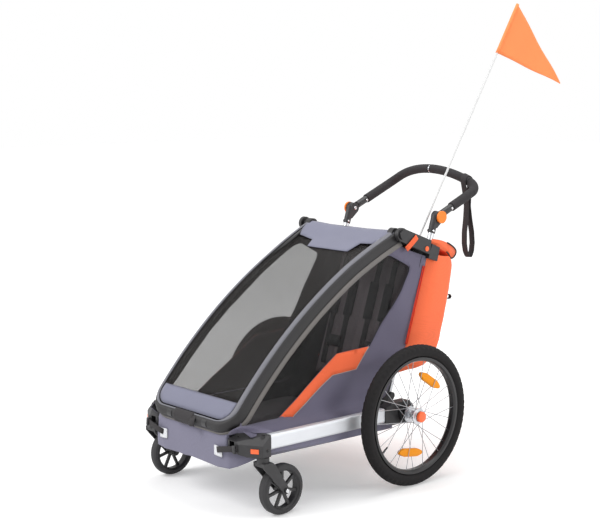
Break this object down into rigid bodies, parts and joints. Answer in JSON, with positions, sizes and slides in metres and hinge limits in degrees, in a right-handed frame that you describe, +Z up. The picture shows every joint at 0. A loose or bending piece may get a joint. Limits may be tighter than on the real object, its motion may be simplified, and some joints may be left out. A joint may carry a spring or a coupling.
{
  "type": "child bicycle trailer",
  "caption": "Folding cloth-bodied child bicycle trailer with a tube frame, spoked main wheels, swivel front casters, hinged push handlebar, rear bag and a safety flag.",
  "frame": {"origin": "floor level, under the middle of the overall box from the front clips of the bow to the tip of the pennant", "axes": "+X the trailer's left, -Y its front, +Z up"},
  "size_m": [0.82, 1.575, 1.6945],
  "materials": {
    "rail_metal": "satin anodised",
    "bright_tube": "bright satin tube",
    "steel": "turned steel",
    "spoke_steel": "bright drawn wire",
    "hub_metal": "satin",
    "black_moulding": "fine matt moulding",
    "black_tube": "black powder coat",
    "white_rod": "white glass fibre rod",
    "rim_black": "black satin",
    "tyre_rubber": "moulded tread",
    "caster_rubber": "soft grey black",
    "foam": "fine foam",
    "orange_plastic": "satin",
    "amber_lens": "prismatic",
    "slate_fabric": "coated woven cloth",
    "orange_fabric": "coated woven cloth",
    "flag_cloth": "thin cloth",
    "cover_mesh": "mesh and film",
    "window_film": "tinted film",
    "seat_fabric": "padded cloth",
    "webbing": "woven webbing",
    "orange_webbing": "woven webbing"
  },
  "bodies": {
    "chassis": {"rail_left": "rail_metal", "rail_right": "rail_metal", "front_corner_left": "black_moulding", "front_corner_right": "black_moulding", "front_crossbar": "rail_metal", "axle_beam": "bright_tube", "floor_hoop": "bright_tube", "rear_knuckle_left": "black_moulding", "rear_knuckle_right": "black_moulding", "tub": "slate_fabric", "seat_cushion": "seat_fabric", "front_straps": "webbing", "stub_axles": "steel", "side_panel_left": "slate_fabric", "side_panel_right": "slate_fabric", "side_windows": "window_film"},
    "wheel_left": {"tyre_left": "tyre_rubber", "rim_left": "rim_black", "spokes_left": "spoke_steel", "hub_left": "hub_metal", "bearings_left": "steel", "reflectors_left": "amber_lens"},
    "wheel_right": {"tyre_right": "tyre_rubber", "rim_right": "rim_black", "spokes_right": "spoke_steel", "hub_right": "hub_metal", "bearings_right": "steel", "reflectors_right": "amber_lens"},
    "axle_button_body_left": {"axle_button_left": "orange_plastic"},
    "axle_button_body_right": {"axle_button_right": "orange_plastic"},
    "caster_left": {"caster_fork_left": "black_moulding"},
    "caster_roller_left": {"caster_wheel_left": "black_moulding", "caster_tyre_left": "caster_rubber"},
    "caster_right": {"caster_fork_right": "black_moulding"},
    "caster_roller_right": {"caster_wheel_right": "black_moulding", "caster_tyre_right": "caster_rubber"},
    "corner_button_body_left": {"corner_button_left": "orange_plastic"},
    "corner_button_body_right": {"corner_button_right": "orange_plastic"},
    "bow": {"bow_frame": "black_tube", "front_cover": "cover_mesh", "roof_flap": "slate_fabric"},
    "roof_brackets": {"roof_bracket_left": "black_moulding", "roof_bracket_right": "black_moulding", "pull_straps": "orange_webbing", "handle_posts": "bright_tube", "flag_pole": "white_rod", "flag_pennant": "flag_cloth", "rear_roof": "slate_fabric"},
    "uprights": {"upright_frame": "bright_tube", "backrest": "seat_fabric", "harness": "webbing", "rear_bag": "orange_fabric"},
    "handlebar": {"handle_tube": "bright_tube", "handle_eyes": "black_moulding", "grips": "foam"},
    "strap_loop": {"wrist_strap": "webbing"},
    "lock_button_body_left": {"lock_button_left": "orange_plastic"},
    "lock_button_body_right": {"lock_button_right": "orange_plastic"},
    "joint_button_body_left": {"joint_button_left": "orange_plastic"},
    "joint_button_body_right": {"joint_button_right": "orange_plastic"}
  },
  "joints": [
    {"name": "wheel_spin_left", "type": "hinge", "parent": "chassis", "child": "wheel_left", "pos_m": [0.367, -0.06908, 0.25], "axis": [1, 0, 0], "continuous": true},
    {"name": "wheel_spin_right", "type": "hinge", "parent": "chassis", "child": "wheel_right", "pos_m": [-0.367, -0.06908, 0.25], "axis": [1, 0, 0], "continuous": true},
    {"name": "axle_release_left", "type": "slide", "parent": "chassis", "child": "axle_button_body_left", "axis": [-1, 0, 0], "range_m": [0, 0.004], "stiffness_N_per_m": 800, "springref_m": -0.003},
    {"name": "axle_release_right", "type": "slide", "parent": "chassis", "child": "axle_button_body_right", "axis": [1, 0, 0], "range_m": [0, 0.004], "stiffness_N_per_m": 800, "springref_m": -0.003},
    {"name": "caster_swivel_left", "type": "hinge", "parent": "chassis", "child": "caster_left", "pos_m": [0.302, -0.70308, 0.23], "axis": [0, 0, 1], "continuous": true},
    {"name": "caster_spin_left", "type": "hinge", "parent": "caster_left", "child": "caster_roller_left", "pos_m": [0.302, -0.62708, 0.085], "axis": [1, 0, 0], "continuous": true},
    {"name": "caster_swivel_right", "type": "hinge", "parent": "chassis", "child": "caster_right", "pos_m": [-0.302, -0.70308, 0.23], "axis": [0, 0, 1], "continuous": true},
    {"name": "caster_spin_right", "type": "hinge", "parent": "caster_right", "child": "caster_roller_right", "pos_m": [-0.302, -0.62708, 0.085], "axis": [1, 0, 0], "continuous": true},
    {"name": "caster_release_left", "type": "slide", "parent": "chassis", "child": "corner_button_body_left", "axis": [-0.538, 0.8429, 0], "range_m": [0, 0.003], "stiffness_N_per_m": 800, "springref_m": -0.003},
    {"name": "caster_release_right", "type": "slide", "parent": "chassis", "child": "corner_button_body_right", "axis": [0.538, 0.8429, 0], "range_m": [0, 0.003], "stiffness_N_per_m": 800, "springref_m": -0.003},
    {"name": "frame_fold", "type": "hinge", "parent": "chassis", "child": "bow", "pos_m": [0, -0.77052, 0.29108], "axis": [1, 0, 0], "range_deg": [-26, 0], "deforming": ["side_panel_left", "side_panel_right", "side_windows", "backrest", "harness", "rear_bag"]},
    {"name": "bracket_fold", "type": "hinge", "parent": "bow", "child": "roof_brackets", "pos_m": [0, -0.02908, 0.872], "axis": [1, 0, 0], "range_deg": [-20.8, 0]},
    {"name": "upright_fold", "type": "hinge", "parent": "chassis", "child": "uprights", "pos_m": [0, -0.02408, 0.285], "axis": [1, 0, 0], "range_deg": [0, 104]},
    {"name": "handlebar_hinge", "type": "hinge", "parent": "roof_brackets", "child": "handlebar", "pos_m": [0, 0.19142, 0.9175], "axis": [1, 0, 0], "range_deg": [-50, 27]},
    {"name": "strap_swing", "type": "hinge", "parent": "handlebar", "child": "strap_loop", "pos_m": [0, 0.40399, 1.03877], "axis": [1, 0, 0], "range_deg": [-27, 50]},
    {"name": "fold_release_left", "type": "slide", "parent": "roof_brackets", "child": "lock_button_body_left", "axis": [-1, 0, 0], "range_m": [0, 0.003], "stiffness_N_per_m": 800, "springref_m": -0.003},
    {"name": "fold_release_right", "type": "slide", "parent": "roof_brackets", "child": "lock_button_body_right", "axis": [1, 0, 0], "range_m": [0, 0.003], "stiffness_N_per_m": 800, "springref_m": -0.003},
    {"name": "handle_release_left", "type": "slide", "parent": "roof_brackets", "child": "joint_button_body_left", "axis": [-1, 0, 0], "range_m": [0, 0.003], "stiffness_N_per_m": 800, "springref_m": -0.003},
    {"name": "handle_release_right", "type": "slide", "parent": "roof_brackets", "child": "joint_button_body_right", "axis": [1, 0, 0], "range_m": [0, 0.003], "stiffness_N_per_m": 800, "springref_m": -0.003}
  ],
  "couplings": [
    {"joint": "bracket_fold", "follows": "frame_fold", "ratio": 0.8},
    {"joint": "upright_fold", "follows": "frame_fold", "ratio": -4},
    {"joint": "strap_swing", "follows": "handlebar_hinge", "ratio": -1}
  ]
}
